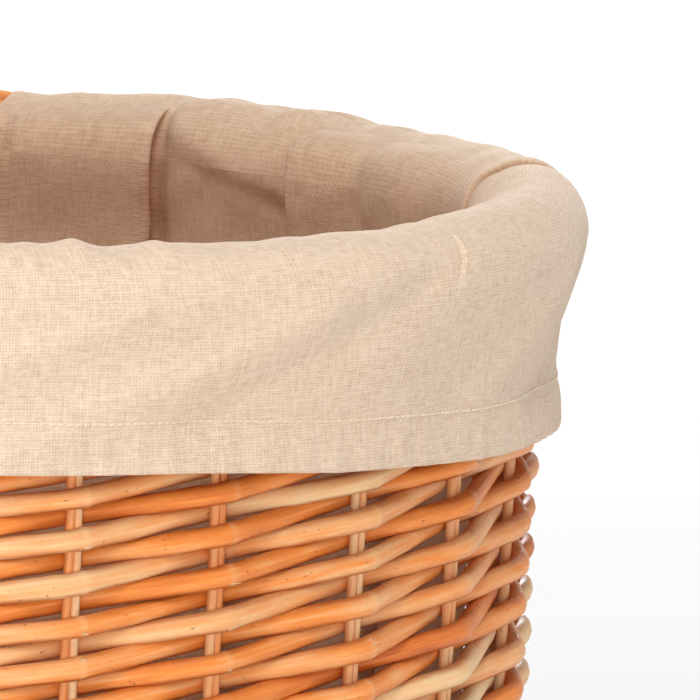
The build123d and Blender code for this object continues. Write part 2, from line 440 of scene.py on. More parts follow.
# ---- the woven wall ----
WEFT_STEP = 6.06  # each rod climbs this much from stake to stake
WALL_START = 46.9  # height of the first row of rods
WALL_TURNS = 66  # stakes that each rod passes
WEFT_UP = 3.18  # half height and half depth of a weaving rod
WEFT_OUT = 2.62
WEFT_DENSE = 0.5  # spacing of the points that a rod's path is smoothed with
PIECE_TOPS = (182.0, 314.0, 500.0)  # top heights of the three pieces of the randing
WALL_WAVES = Waves(3, 9, (2, 11), (60, 200))


def wall_rods():
    """French randing: a rod for every stake, in front of one and behind the next, always climbing."""
    bundles = [Bundle() for _ in PIECE_TOPS]
    for helix in range(STAKES):
        # each strand is three rods, joined behind a stake
        joins = [2 * int(b) for b in (RNG.integers(9, 13), RNG.integers(20, 24))]
        breaks = [0, *joins, WALL_TURNS]
        for first, last in zip(breaks[:-1], breaks[1:]):
            weave_rod(bundles, helix, first, last)
    return bundles


def weave_rod(bundles, helix, first, last):
    """One rod from stake to stake, cut where it passes from one mesh to the next."""
    steps = np.arange(first, last + 1)
    index = helix + steps
    theta = stake_angle(index)
    front = np.where(steps % 2 == 1, 1.0, -1.0)
    level = WALL_START + WEFT_STEP * steps
    level = level + 0.4 * WALL_WAVES(theta, level) + RNG.normal(0, 0.22, len(steps))
    thick = RNG.normal(1.0, 0.035)
    taper = np.linspace(1.05, 0.95, len(steps))
    half_up = WEFT_UP * thick * taper
    depth = WEFT_OUT * thick * taper
    radius = stake_circle(level) + front * (STAKE_ROD + depth + 0.1)
    centre = at(theta, radius, level)
    # a rod eases round the left side of the pair it covers and kinks at the right side
    along = around(theta)
    before = 2.6 * along
    after = np.where(front > 0, 1.7, 2.6)[:, None] * along
    ease = at(theta, radius - front * 0.95, level) - np.where(front > 0, 8.0, 7.0)[:, None] * along
    tilt = np.array([0, 0, 0.28])
    corners = np.empty((3 * len(steps), 3))
    corners[0::3] = ease - 3 * tilt
    corners[1::3] = centre - before - tilt
    corners[2::3] = centre + after + tilt
    extra = np.column_stack([np.repeat(half_up, 3), np.repeat(depth, 3)])
    dense, data, s = smooth_path(corners, WEFT_DENSE, 0.8, extra)
    # the mesh's rings are close together at the kinks and far apart between them
    marks = s[2::3]
    keep = []
    for a, b in zip(marks[:-1], marks[1:]):
        span = b - a
        middle = list(np.linspace(7.5, span - 11.0, 5)[1:-1])
        keep += [a + d for d in [0.0, 0.8, 1.7, 3.5, 7.0] + middle]
        keep += [b - d for d in (11.0, 8.0, 5.6, 3.6, 1.8, 0.8)]
    keep = np.concatenate([np.arange(0, marks[0], 2.0), keep, [marks[-1]]])
    rows = np.unique(np.clip((keep / WEFT_DENSE).astype(int), 0, len(dense) - 1))
    path, up, out = data[rows, :3], data[rows, 3], data[rows, 4]
    where = dense[rows]
    wobble = RNG.uniform(0, 6.28, 4)
    swell = 1 + 0.022 * np.sin(where / 19 + wobble[0]) + 0.02 * np.sin(where / 8.3 + wobble[1])
    for knot in RNG.uniform(0, where[-1], max(1, int(where[-1] / 110))):
        swell = swell + 0.09 * bump(where, knot, 2.6)
    gap = np.min(np.abs(where[:, None] - marks[None, (front > 0)]), axis=1)
    kink = RNG.uniform(0.05, 0.9) * np.exp(-(gap / 1.05) ** 2)
    up = up * swell * (1 + 0.07 * np.exp(-(gap / 3.0) ** 2))
    out = out * swell * (1 - 0.05 * np.exp(-(gap / 2.2) ** 2))
    path[:, 2] += np.sin(where / 23 + wobble[2]) * 0.18
    facing = off_axis(path)
    tone = float(np.clip(RNG.normal(0.5, 0.23), 0, 1))
    offset = RNG.uniform(0, 40)
    piece = np.searchsorted(PIECE_TOPS, path[:, 2])
    for number, bundle in enumerate(bundles):
        own = np.flatnonzero(piece == number)
        if len(own) < 2:
            continue
        lo, hi = own[0], min(own[-1] + 1, len(path) - 1)
        part = slice(lo, hi + 1)
        caps = (lo == 0, hi == len(path) - 1)
        bundle.rod(path[part], up[part], out[part], facing[part], tone, kink[part], caps=caps,
                   offset=offset + where[lo] * 0.001)
    for mark, ahead in zip(marks, front):
        if ahead > 0 and RNG.uniform() < 0.3:
            i = int(np.argmin(np.abs(where - mark)))
            number = min(int(np.searchsorted(PIECE_TOPS, path[i, 2])), len(bundles) - 1)
            sliver(bundles[number], path[i], facing[i], up[i], out[i])


def sliver(bundle, middle, facing, up, out):
    """A loose fibre that has split off a rod at its kink."""
    a = RNG.uniform(-0.9, 0.9)
    along = np.cross([0, 0, 1], facing)
    start = middle + facing * out * cos(a) + np.array([0, 0, up * sin(a)])
    length = RNG.uniform(1.5, 4.0)
    t = np.linspace(0, 1, 5)[:, None]
    lean = RNG.uniform(-0.35, 0.35)
    path = start + along * (t - 0.25) * length + facing * (RNG.uniform(0.3, 0.8) * (t - 0.15) ** 2)
    path = path + np.array([0, 0, 1]) * lean * t * length
    size = RNG.uniform(0.10, 0.17) * np.array([1.0, 1.0, 0.9, 0.6, 0.25])
    bundle.rod(path, size * 2, size, facing, 0.9, np.ones(5), sides=4)


def stake_rods():
    """Each stake with its bye-stake, bent up out of the base."""
    pieces = []
    for number in range(STAKES):
        theta = float(stake_angle(number))
        bundle = Bundle()
        for side in (-1, 1):
            if side < 0:
                # the stake lies between the base's rods, turns up in a tight bend and climbs the wall
                flat_r = np.linspace(150, 190, 8)
                turn = np.linspace(0, 1, 9)[1:]
                bend_r = 191 + 7.25 * np.sin(turn * pi / 2)
                bend_z = STAKE_FOOT + 7.2 * (1 - np.cos(turn * pi / 2))
                z_up = np.linspace(40, 479, 62)
                radius = np.concatenate([flat_r, bend_r, stake_circle(z_up)])
                z = np.concatenate([np.full(len(flat_r), STAKE_FOOT), bend_z, z_up])
            else:
                z = np.linspace(35, 480, 64)
                radius = stake_circle(z)
            drift = 0.22 * np.sin(z / 31 + number * 1.7 + side) + 0.15 * np.sin(z / 11 + number)
            path = at(theta, radius, z) + around(theta) * (side * STAKE_SIDE + drift)[:, None]
            thick = STAKE_ROD * (1 + 0.05 * np.sin(z / 23 + number * 2.1 + side))
            thick = thick * np.linspace(1.04, 0.97, len(z))
            bundle.rod(path, thick, thick, outward(theta), RNG.uniform(0.3, 0.8))
        pieces.append(bundle)
    return pieces


def waling(low, high, rounds, thick, centre_shift, phase):
    """Three-rod waling between two heights: each rod goes in front of two stakes and behind one.

    It stays level round the basket and steps up to the next round just before it meets its start.
    """
    bundle = Bundle()
    count = 3
    for rod in range(count):
        steps = np.arange(0, STAKES * rounds + 1)
        theta = stake_angle(steps + phase)
        place = (steps + rod) % count
        front = np.where(place == 0, -1.0, 1.0)
        level = np.floor(steps / STAKES) + smoothstep(steps % STAKES / STAKES, 0.86, 1.0)
        climb = low + thick + (high - low - 2 * thick) * np.clip(level / (rounds - 1), 0, 1)
        lift = np.where(place == 0, 0.2, (place - count / 2) * thick * 1.05)
        z = climb + lift
        depth = thick * 0.95
        radius = stake_circle(z) + centre_shift + front * (STAKE_ROD + depth + 0.1)
        centre = at(theta, radius, z)
        side = around(theta) * 2.4
        corners = np.empty((2 * len(steps), 3))
        corners[0::2], corners[1::2] = centre - side, centre + side
        where, path = eased(corners, 1.0, 2.4, 5)
        swell = 1 + 0.03 * np.sin(where / 17 + rod)
        bundle.rod(path, thick * swell, depth * swell, off_axis(path), RNG.uniform(0.3, 0.75), sides=8)
    return bundle


def rolled_border(radius, height, across, tall, strands, thick, seed, lift=None):
    """A rolled border: every stake end laid along the rim and wound once round its neighbours.

    across and tall are the border's own half sizes, and strands is how many stakes each end passes.
    """
    bundle = Bundle()
    rng = np.random.default_rng(seed)
    turn = 360 / strands
    for number in range(STAKES):
        t = np.linspace(-0.35, strands + 0.35, 14 * strands)
        theta = stake_angle(number) + t * STAKE_STEP
        psi = np.radians(-115 - t * turn)
        # both ends of a rod are tucked in towards the border's middle
        tucked = np.minimum(smoothstep(t, -0.35, 0.9), smoothstep(-t, -strands - 0.35, -strands + 0.9))
        ring_across = (across - thick) * (0.45 + 0.55 * tucked)
        ring_tall = (tall - thick) * (0.45 + 0.55 * tucked)
        r = radius + ring_across * np.cos(psi)
        z = height + ring_tall * np.sin(psi)
        if lift is not None:
            z = z + lift(theta)
        path = at(theta, r, z)
        size = thick * rng.uniform(0.93, 1.06) * np.linspace(1.05, 0.92, len(t))
        facing = at(theta, np.cos(psi), np.sin(psi))
        size = size * (1 + 0.03 * np.sin(t * 5 + number))
        bundle.rod(path, size, size * 0.96, facing, rng.uniform(0.25, 0.8))
    return bundle


# ---- handles ----
HANDLE_HALF = 44.0  # half the distance between the bow's legs
HANDLE_ARC = 40.0  # radius of its two upper corners
HANDLE_FOOT = 374  # height that its legs reach down to
HANDLE_STRAIGHT = 508  # height at which its legs end and the corners begin
HANDLE_ROD = 3.7  # radii of the bow and of the rods wound round it
WINDING_ROD = 1.55


def handle_path(step):
    """Middle line of the back handle's bow, from deep in the wall on the right, over, to the left."""
    angle = np.arcsin(HANDLE_HALF / 207.6)
    leg_z = np.arange(HANDLE_FOOT, HANDLE_STRAIGHT, step)
    leg_y = stake_circle(leg_z) * np.cos(angle)
    turn = np.linspace(0, pi / 2, int(63 / step))
    arc_x = HANDLE_HALF - HANDLE_ARC + HANDLE_ARC * np.cos(turn)
    arc_z = HANDLE_STRAIGHT + HANDLE_ARC * np.sin(turn)
    x = np.concatenate([np.full(len(leg_z), HANDLE_HALF), arc_x])
    z = np.concatenate([leg_z, arc_z])
    y = np.concatenate([leg_y, np.full(len(turn), leg_y[-1])])
    # above the rim the bow leans outward by 8 degrees
    above = np.clip(z - 492, 0, None)
    y = y + tan(radians(8)) * (np.sqrt(above**2 + 36) - 6)
    half = np.column_stack([x, y, z])
    return np.concatenate([half, half[::-1] * np.array([-1, 1, 1])])


def handle(front):
    """The bow and the rods wound round it."""
    turn = np.array([-1, -1, 1]) if front else np.array([1, 1, 1])
    dense, path, _ = smooth_path(handle_path(2.0), 1.0, 3.0)
    facing, rising = square_frame(path, np.array([0.0, 1.0, 0.0]))
    bow, wrap = Bundle(), Bundle()
    rows = slice(None, None, 3)
    size = 1.5 + (HANDLE_ROD - 1.5) * smoothstep(path[rows, 2], 430, 468)
    bow.rod(path[rows] * turn, size, size, facing[rows] * turn, 0.5, sides=12)
    above = np.flatnonzero(path[:, 2] > 499)
    s = dense[above] - dense[above[0]]
    strands = 5
    pitch = strands * WINDING_ROD * 2.02
    fine = np.arange(0, s[-1], 0.75)
    base, ahead, beside = (resample(values[above], s, fine) for values in (path, facing, rising))
    for strand in range(strands):
        phi = 2 * pi * (fine / pitch + strand / strands)
        reach = HANDLE_ROD + WINDING_ROD * 0.82 + 0.1 * np.sin(fine / 7 + strand)
        side = ahead * np.cos(phi)[:, None] + beside * np.sin(phi)[:, None]
        size = WINDING_ROD * (1 + 0.04 * np.sin(fine / 13 + strand * 2))
        wrap.rod((base + side * reach[:, None]) * turn, size, size * 0.8, side * turn,
                 RNG.uniform(0.3, 0.85), sides=8)
    return bow, wrap


# ---- base ----
def base_stick(bend, offset, radius, turned_by):
    """A base stick: straight over the crossing, then opened out to its spoke angle."""
    end = np.array([186 * cos(radians(bend)), 186 * sin(radians(bend))])
    x = [-end[0], -20, 20, end[0]]
    y = [end[1], offset, offset, end[1]]
    corners = np.column_stack([x, y, np.full(4, BASE_HEIGHT)])
    where, path = eased(corners, 2.0, 6.0, 2)
    c, s = cos(radians(turned_by)), sin(radians(turned_by))
    path = path @ np.array([[c, s, 0], [-s, c, 0], [0, 0, 1]])
    size = radius * (1 + 0.03 * np.sin(where / 15 + offset))
    bundle = Bundle()
    bundle.rod(path, size, size, np.array([0.0, 0.0, 1.0]), RNG.uniform(0.2, 0.6))
    return bundle


def base_weave():
    """Pairing: two rods at a time, one over and one under each spoke, in a spiral."""
    bundle = Bundle()
    inner, outer, pitch = 24, 189, 4.9
    turns = int((outer - inner) / pitch)
    for pair in (0, 1):
        t = np.arange(0, SPOKES * turns + 1)
        theta = (t + 0.5) * 360 / SPOKES
        r = inner + pitch * t / SPOKES + 0.35 * np.sin(t * 1.3)
        over = np.where((t + pair) % 2 == 0, 1.0, -1.0)
        # the rods spread wider over the thick sticks than over the thin ones
        gap = np.where((t // 4) % 2 == 0, THREADED_RADIUS, SLIT_RADIUS)
        z = BASE_HEIGHT + over * (gap * 0.55 + 2.1)
        corners = at(theta, r + over * 0.3, z)
        where, path = eased(corners, 1.0, 2.5, 4)
        facing = off_axis(path)
        size = 2.15 * (1 + 0.04 * np.sin(where / 21 + pair))
        for part in np.array_split(np.arange(len(path)), 9):
            if len(part) > 3:
                part = np.append(part, min(part[-1] + 1, len(path) - 1))
                bundle.rod(path[part], size[part], size[part] * 1.05, facing[part],
                           RNG.uniform(0.2, 0.8), sides=8)
    return bundle


# ---- liner ----
ROLL = 15.4  # radius of the cloth over the border
ROLL_QUARTER = ROLL * pi / 2  # cloth from the roll's top to the level of its middle, inside or outside
BAG_GAP = 8.2  # from the middle of the stakes in to the bag
BAG_RADIUS = 205  # radius at which the cloth's threads have their true spacing
CUFF_RADIUS = 218  # the same for lengths round the cuff
CUFF_FALL = 0.972  # height that the cuff loses for each mm of its cloth
PINCH_ANGLE = 58.3  # where the cloth is pinched into a short upright ridge
CREASE_ANGLE = 99.2  # where the crease at the right end crosses the top of the roll
CREASE_TURN = 4.2  # degrees that it turns towards the front inside the roll
HEM_STITCH = 14.5  # cloth between the line of stitches and the cuff's edge
CUFF_WAVES = Waves(11, 10, (3, 16), (60, 180))
FINE_WAVES = Waves(12, 12, (30, 75), (18, 60))
BAG_WAVES = Waves(15, 7, (5, 14), (300, 900))
HEM_WAVES = Waves(18, 9, (70, 150), (40, 120))

# soft diagonal wrinkles of the cuff: angle and mm from the roll's top at both ends, height, width in mm
WRINKLES = (
    (44, 30, 14, 74, 1.7, 9.0),
    (56, 22, 30, 66, -1.5, 8.0),
    (27, 28, 12, 50, 1.1, 6.0),
    (80, 30, 60, 70, 1.3, 9.0),
    (92, 40, 72, 72, -1.2, 7.0),
    (120, 24, 98, 66, 1.5, 9.0),
    (150, 30, 128, 70, 1.6, 9.0),
    (214, 30, 236, 68, 1.6, 9.0),
    (250, 24, 268, 70, -1.5, 8.0),
    (284, 30, 300, 66, 1.6, 9.0),
    (334, 28, 312, 70, 1.5, 9.0),
)


def wrinkles(theta, s):
    """How far the cuff stands out along its wrinkles."""
    x = np.radians(theta) * CUFF_RADIUS
    total = 0
    for t0, s0, t1, s1, height, width in WRINKLES:
        x0, x1 = radians(t0) * CUFF_RADIUS, radians(t1) * CUFF_RADIUS
        length = np.hypot(x1 - x0, s1 - s0)
        along = ((x - x0) * (x1 - x0) + (s - s0) * (s1 - s0)) / length
        aside = ((x - x0) * (s1 - s0) - (s - s0) * (x1 - x0)) / length
        ends = between(along, -12, 14, length - 16, length + 10)
        total = total + 1.4 * height * ends * np.exp(-((aside / width) ** 2) - 0.25 * np.tanh(aside / 3))
    return total


# folds of the liner's inside: angle where the roll ends, step in mm (+ when the side towards larger
# theta stands proud), lean in degrees for each mm down the cloth on the roll and below it,
# where the fold starts and ends, in mm from the roll's top
FOLDS = (
    (162.5, -5.0, 0.0, 0.02, 12, 260),
    (148.5, 9.5, -0.02, 0.040, 8, 300),
    (129.3, -12.5, -0.11, 0.020, 7, 320),
    (60.0, 4.0, 0.0, -0.02, 12, 240),
    (38.0, -4.5, 0.0, 0.02, 14, 280),
    (205.0, -5.0, 0.0, 0.02, 8, 260),
    (226.0, 5.0, 0.0, 0.01, 9, 300),
    (262.0, -4.0, 0.0, -0.02, 6, 220),
    (301.0, 5.0, 0.0, 0.02, 9, 280),
    (327.0, -5.0, 0.0, 0.02, 8, 260),
    (350.0, 3.5, 0.0, 0.01, 12, 280),
)
FOLD_LAP = 1.1  # degrees that each fold's edge lies over the cloth beside it

# the sheets' columns: evenly round the ring, and closer together at the folds, the pinch and the crease
FINE_NEAR = [fold[0] for fold in FOLDS] + [57.6, PINCH_ANGLE, 96.8, 98.2, 99.4]
EVEN_COLUMNS = [np.arange(1000) * 0.36]
FINE_COLUMNS = [angle + np.arange(-0.84, 0.85, 0.12) for angle in FINE_NEAR]
THETAS = np.unique(np.round(np.concatenate(EVEN_COLUMNS + FINE_COLUMNS), 3))


def hem_height(theta):
    """Height of the cuff's edge: a little lower towards the sides."""
    edge = np.interp(np.abs(angle_gap(theta, 0)), [0, 16, 32, 45, 70, 110, 150, 180],
                     [437.5, 437, 435, 432.3, 431, 431.5, 434, 436])
    return edge + 0.6 * CUFF_WAVES(theta, 40)


def hem_drop(theta):
    """Cloth from the level of the roll's middle down to the cuff's edge."""
    return (RIM_HEIGHT - hem_height(theta)) / CUFF_FALL


def inner_profile(depth):
    """Radius and height of the cloth inside, depth mm down from where the roll ends."""
    z = RIM_HEIGHT - depth
    wall = stake_circle(z) - BAG_GAP
    roll = RIM_RADIUS - ROLL
    blend = smoothstep(depth, 0, 26)
    return roll * (1 - blend) + wall * blend, z


# the cuff's outside: cloth down from the level of the roll's middle, and its radius there
OUTER_S = (0, 3, 8, 16, 24, 31, 37, 43, 50, 58, 70)
OUTER_R = (224.4, 224.5, 223.8, 221.9, 220.2, 218.8, 218.0, 218.2, 218.9, 218.9, 218.2)


def outer_profile(length):
    """Radius and height of the cuff outside, length mm down from where the roll ends."""
    r = np.interp(length, OUTER_S, OUTER_R)
    z = RIM_HEIGHT - length * CUFF_FALL
    return r, z


def fold_offset(theta, depth):
    """How far the inner cloth is pushed in (mm) and aside (degrees), depth mm down from the roll's top."""
    push = np.zeros(np.broadcast(theta, depth).shape)
    shift = np.zeros_like(push)
    # between the two folds at the back the roll bulges over a slanting line
    slant = np.interp(theta, [131.0, 148.5], [34, 17])
    pleat = between(theta, 129.9, 133.0, 146.2, 148.2)
    bulge = 5.5 * between(depth, 2, 12, slant - 3, slant + 5)
    push = push + pleat * bulge
    # and the cloth sinks towards both of them
    middle = between(theta, 131.5, 138.0, 144.5, 148.2)
    push = push + 3.2 * middle * between(depth, 10, 24, 150, 260)
    # a soft hollow and two soft swellings to the right of the folds
    push = push - 3.6 * bump(theta, 122.0, 2.2) * between(depth, 6, 20, 90, 240)
    push = push + 3.4 * bump(theta, 113, 5.0) * between(depth, 4, 20, 70, 200)
    push = push + 1.5 * bump(theta, 128, 3.0) * between(depth, 10, 30, 70, 200)
    below = depth - ROLL_QUARTER
    for angle, step, lean_over, lean_under, top, reach in FOLDS:
        gap = angle_gap(theta, angle)
        f = np.clip(gap / 0.9 + 0.5, 0, 1)
        fade = between(depth, top, top + 13, reach * 0.5, reach)
        rise = f * f * (3 - 2 * f)
        if step > 0:
            push = push + step * rise * fade * np.exp(-np.clip(gap, 0, None) / 24)
        else:
            push = push - step * (1 - rise) * fade * np.exp(np.clip(gap, None, 0) / 24)
        lean = lean_over * np.minimum(below, 0) + lean_under * np.maximum(below, 0)
        shift = shift + lean * np.exp(-(gap / 7) ** 2) + FOLD_LAP * np.sin(2 * pi * f) * fade
    return push, shift


def liner_inside(theta, depth):
    """Points of the bag wall."""
    r, z = inner_profile(depth)
    push, shift = fold_offset(theta, depth + ROLL_QUARTER)
    low = smoothstep(depth, 10, 90) * (1 - 0.75 * smoothstep(depth, 330, 440))
    swell = low * (0.7 + 1.4 * BAG_WAVES(theta, depth)) * (1 - bump(angle_gap(theta, 75), 0, 26))
    r = r - np.clip(swell, 0, None) - push
    r = r - 0.5 * FINE_WAVES(theta, depth) * (1 - smoothstep(depth, 0, 45)) * smoothstep(depth, 0, 6)
    r = r - roll_lift(theta, -ROLL_QUARTER - depth)[1]
    return at(theta + shift, r, z)


def crease_line(s):
    """Angle of the crease at the right end, s mm out from the roll's top."""
    return CREASE_ANGLE - CREASE_TURN * smoothstep(-s, 10, 21)


def crease_reach(s):
    """1 where the crease is there in full, 0 far down the cloth on either side."""
    return np.exp(-((s + 5) / 17.0) ** 4)


def back_left(theta):
    """True on the half of the ring round the back left, where the roll is more uneven."""
    return np.cos(np.radians(theta - 225)) > 0


def roll_lift(theta, s):
    """Rise of the roll and growth of its radius; s is mm from the top of the roll, outward positive."""
    gap = angle_gap(theta, crease_line(s))
    # rises and dips of the roll's top line: by the crease, along the front and at the back
    lift = 0.9 * between(gap, -34, -6, -4, 0) + 1.0 * bump(gap, 9, 10)
    lift = lift - 1.7 * bump(theta, 37, 13) - 1.3 * bump(theta, 54.5, 6)
    lift = lift + 2.3 * bump(theta, 140, 9) + 0.6 * bump(theta, 132.8, 2.2) - 0.4 * bump(theta, 128.1, 2.0)
    # a crease like the right end's on the left side
    other = angle_gap(theta, 262 + 0.02 * s)
    lift = lift + 3.0 * between(other, -20, -3, -0.45, 0.45)
    lift = lift + 1.1 * CUFF_WAVES(theta, 0) * back_left(theta)
    grow = np.exp(-np.clip(np.abs(s) - 5, 0, None) / 22)
    # small scallops of the roll's edge, most of them at the front
    small = (0.7 * bump(theta, 18.6, 0.9) + 0.9 * bump(theta, 22.3, 0.9) - 0.6 * bump(theta, 25.4, 1.6)
             + 1.0 * bump(theta, 29.2, 0.9) + 0.5 * bump(theta, 152.6, 1.2))
    small = small + (0.24 + 0.2 * back_left(theta)) * FINE_WAVES(theta, s * 0.6)
    # the crease at the right end: the cloth behind it ends in a lip that stands over the cloth before it
    crease = 1.7 * smoothstep(gap, -0.25, 0.2) * np.exp(-np.clip(gap - 0.2, 0, None) / 2.5)
    crease = crease - 1.3 * bump(gap, -0.45, 0.45) + 0.9 * bump(gap, -7, 4)
    puff = small * bump(s, -2, 13) + crease * crease_reach(s)
    return lift * grow, puff


def crease_lap(theta, s):
    """Sideways shift that lays the lip of the right end's crease over the cloth before it."""
    gap = angle_gap(theta, crease_line(s))
    return (0.2 * bump(gap, -0.45, 0.3) - 0.8 * bump(gap, 0.15, 0.35)) * crease_reach(s)


def cuff_point(theta, s):
    """Radius and height of the cuff, s mm out from the roll's top: -ROLL_QUARTER is its inner edge."""
    psi = np.clip(pi / 2 - s / ROLL, 0, pi)
    lift, puff = roll_lift(theta, s)
    swell = 0.55 * CUFF_WAVES(theta, s * 0.7) * smoothstep(s, -10, 20)
    size = ROLL + puff + 0.35 * swell + np.where(s < 0, fold_offset(theta, -s)[0], 0)
    r = RIM_RADIUS + size * np.cos(psi)
    z = RIM_HEIGHT + size * np.sin(psi)
    down = np.clip(s - ROLL_QUARTER, 0, None)
    fall_r, fall_z = outer_profile(down)
    out = s > ROLL_QUARTER
    r = np.where(out, fall_r + swell + puff, r)
    z = np.where(out, fall_z, z)
    lift = lift * np.where(s < -15, smoothstep(s, -ROLL_QUARTER, -15), 1)
    z = z + lift * np.where(out, np.exp(-down / 30), 1)
    r = r + 0.9 * bump(angle_gap(theta, 92), 0, 18) * bump(s, 18, 16) + wrinkles(theta, s)
    # the pinch is a thin ridge with a groove on its left
    pinch = angle_gap(theta, PINCH_ANGLE - 0.006 * np.clip(s - 10, 0, None) ** 2)
    r = r + 0.6 * bump(pinch, 0, 0.15) * bump(s, 16.5, 6.5)
    r = r - 0.9 * bump(pinch, -0.4, 0.25) * bump(s, 16.5, 8)
    return r, z


def grid_faces(rows, columns, closed):
    """The four-sided faces of a grid; a closed one joins its last column to its first."""
    r = np.arange(rows - 1)[:, None] * columns
    c = np.arange(columns if closed else columns - 1)[None, :]
    d = (c + 1) % columns
    below = r + columns
    return np.stack([r + c, r + d, below + d, below + c], axis=-1).reshape(-1, 4)


def sheet_mesh(name, points, u, v, inside, closed, material, flip=False):
    """A sheet from a grid of points, its cloth coordinates in mm and how far inside the basket it is."""
    rows, columns = points.shape[:2]
    faces = grid_faces(rows, columns, closed)
    u, v = np.broadcast_to(u, (rows, columns)), np.broadcast_to(v, (rows, columns))
    uu, vv = u.ravel()[faces], v.ravel()[faces]
    if closed:
        # the faces that close the ring end at a full turn, not back at the first column
        column = faces % columns
        last = (column[:, 1] == 0) & (column[:, 0] == columns - 1)
        uu[last, 1:3] = float(u[0, -1] + (u[0, 1] - u[0, 0]))
    uv = np.stack([uu, vv], axis=-1) * 0.001
    if flip:
        faces, uv = faces[:, ::-1], uv[:, ::-1]
    return build_mesh(name, points.reshape(-1, 3), faces.tolist(), uv.reshape(-1, 2),
                      {"inside": np.broadcast_to(inside, (rows, columns)).ravel()}, material)


def inside_share(s):
    """0 on the cuff's outside and 1 inside the basket, s mm out from the roll's top."""
    return smoothstep(-s, -6, 27)


def bag_wall(material):
    """The bag's wall, from the roll down to the floor, with its rows closer together at the top."""
    depth = np.concatenate([np.arange(0, 60, 1.8), np.arange(60, 150, 5), np.arange(150, 445, 13), [449.5]])
    grid_t, grid_d = np.meshgrid(THETAS, depth)
    points = liner_inside(grid_t, grid_d)
    u = np.radians(grid_t) * BAG_RADIUS
    v = -ROLL_QUARTER - grid_d
    return sheet_mesh("liner_bag_wall", points, u, v, inside_share(v), True, material)


CORNER = 20.0  # mm over which the cuff's ends are rounded off inside the roll


def cuff_side(start, end, name, material):
    """One side of the cuff between the notches, with its turned-up hem."""
    theta = THETAS[(THETAS > start - 0.01) & (THETAS < end + 0.01)][None, :]
    edge = ROLL_QUARTER + hem_drop(theta)
    rows = [np.full_like(theta, s) for s in np.linspace(-ROLL_QUARTER, ROLL_QUARTER, 40)]
    rows += [ROLL_QUARTER + t * (edge - ROLL_QUARTER - 16.5) for t in np.linspace(0, 1, 32)[1:]]
    rows += [edge - above for above in (15.1, 14.4, 13.7, 12.0, 9.9, 7.8, 5.8, 4.0, 2.2, 0.9, 0.0)]
    s = np.concatenate(rows)
    # inside the roll both ends draw away from the notch along a quarter round
    corner = np.clip(-s / CORNER, 0, 1)
    reach = np.degrees(0.8 * CORNER * (1 - np.sqrt(np.clip(1 - corner**2, 0, 1))) / RIM_RADIUS)
    near = np.exp(-((theta - theta[0, 0]) / 5) ** 2)
    far = np.exp(-((theta - theta[0, -1]) / 5) ** 2)
    grid_t = theta - reach * near + reach * far
    # the mesh's columns follow the crease, so its edge stays smooth
    grid_t = grid_t + (crease_line(s) - CREASE_ANGLE) * bump(angle_gap(grid_t, CREASE_ANGLE), 0, 9)
    r, z = cuff_point(grid_t, s)
    turned = grid_t + np.where(s < 0, fold_offset(grid_t, -s)[1], 0) + crease_lap(grid_t, s)
    # the stitches draw the cloth in, and the hem below them is thicker and puckers
    below = s - edge
    r = r - 0.12 * bump(below, -HEM_STITCH, 1.1) + 0.35 * smoothstep(below, -13.9, -10)
    r = r + 0.16 * HEM_WAVES(grid_t, below) * smoothstep(below, -16, -8)
    points = at(turned, r, z)
    # the cloth turns in at the edge and runs back up behind the hem
    inside_t = at(grid_t[-1], r[-1] - 0.7, z[-1] - 0.25)
    back = [points[-1] + (inside_t - points[-1]) * 0.5 + np.array([0, 0, -0.3]), inside_t]
    for up in (2, 6, 10, 13):
        back_r, back_z = cuff_point(grid_t[-1:], s[-1:] - up)
        back.append(at(grid_t[-1], back_r[0] - 0.65, back_z[0]))
    points = np.concatenate([points, np.stack(back)])
    v = np.concatenate([s, *[s[-1:] + past for past in (0.6, 1.0, 3, 7, 11, 14)]])
    u = np.radians(grid_t) * BAG_RADIUS
    u = np.concatenate([u, np.repeat(u[-1:], len(back), axis=0)])
    return sheet_mesh(name, points, u, v, inside_share(v), False, material, flip=True)


def hem_stitches(start, end, name, material):
    """The hem's line of stitches: each stands out in its middle and dips into the cloth at its ends."""
    bundle = Bundle()
    stand = np.array([-0.40, 0.0, 0.16, 0.16, 0.0, -0.40])
    theta = start + 0.6
    while theta < end - 0.6:
        t = np.linspace(theta, theta + 0.54, len(stand))
        r, z = cuff_point(t, ROLL_QUARTER + hem_drop(t) - HEM_STITCH)
        bundle.rod(at(t, r + stand, z), 0.34, 0.28, outward(t), 0.5, sides=6)
        theta += 0.66
    return bundle.object(name, material)


def liner_floor(material):
    """The bag's floor: it lies on the base in soft waves, and its last ring meets the wall."""
    radii = np.concatenate([[0.5], np.arange(8, 186, 6), [187.2]])
    theta = np.arange(0, 360, 1.5)
    grid_t, grid_r = np.meshgrid(theta, radii)
    waves = Waves(31, 8, (2, 7), (70, 220))
    z = 33.4 + 1.3 * np.clip(waves(grid_t, grid_r) * smoothstep(grid_r, 5, 70) + 0.5, 0, None)
    z = z + 1.5 * smoothstep(grid_r, 176, 187)
    points = at(grid_t, grid_r, z)
    points[-1] = liner_inside(theta, 449.4)
    rows, columns = points.shape[:2]
    faces = grid_faces(rows, columns, True)
    flat = points.reshape(-1, 3)
    uv = flat[faces][..., :2] * 0.001
    return build_mesh("liner_bag_floor", flat, faces.tolist(), uv.reshape(-1, 2),
                      {"inside": np.ones(len(flat))}, material)


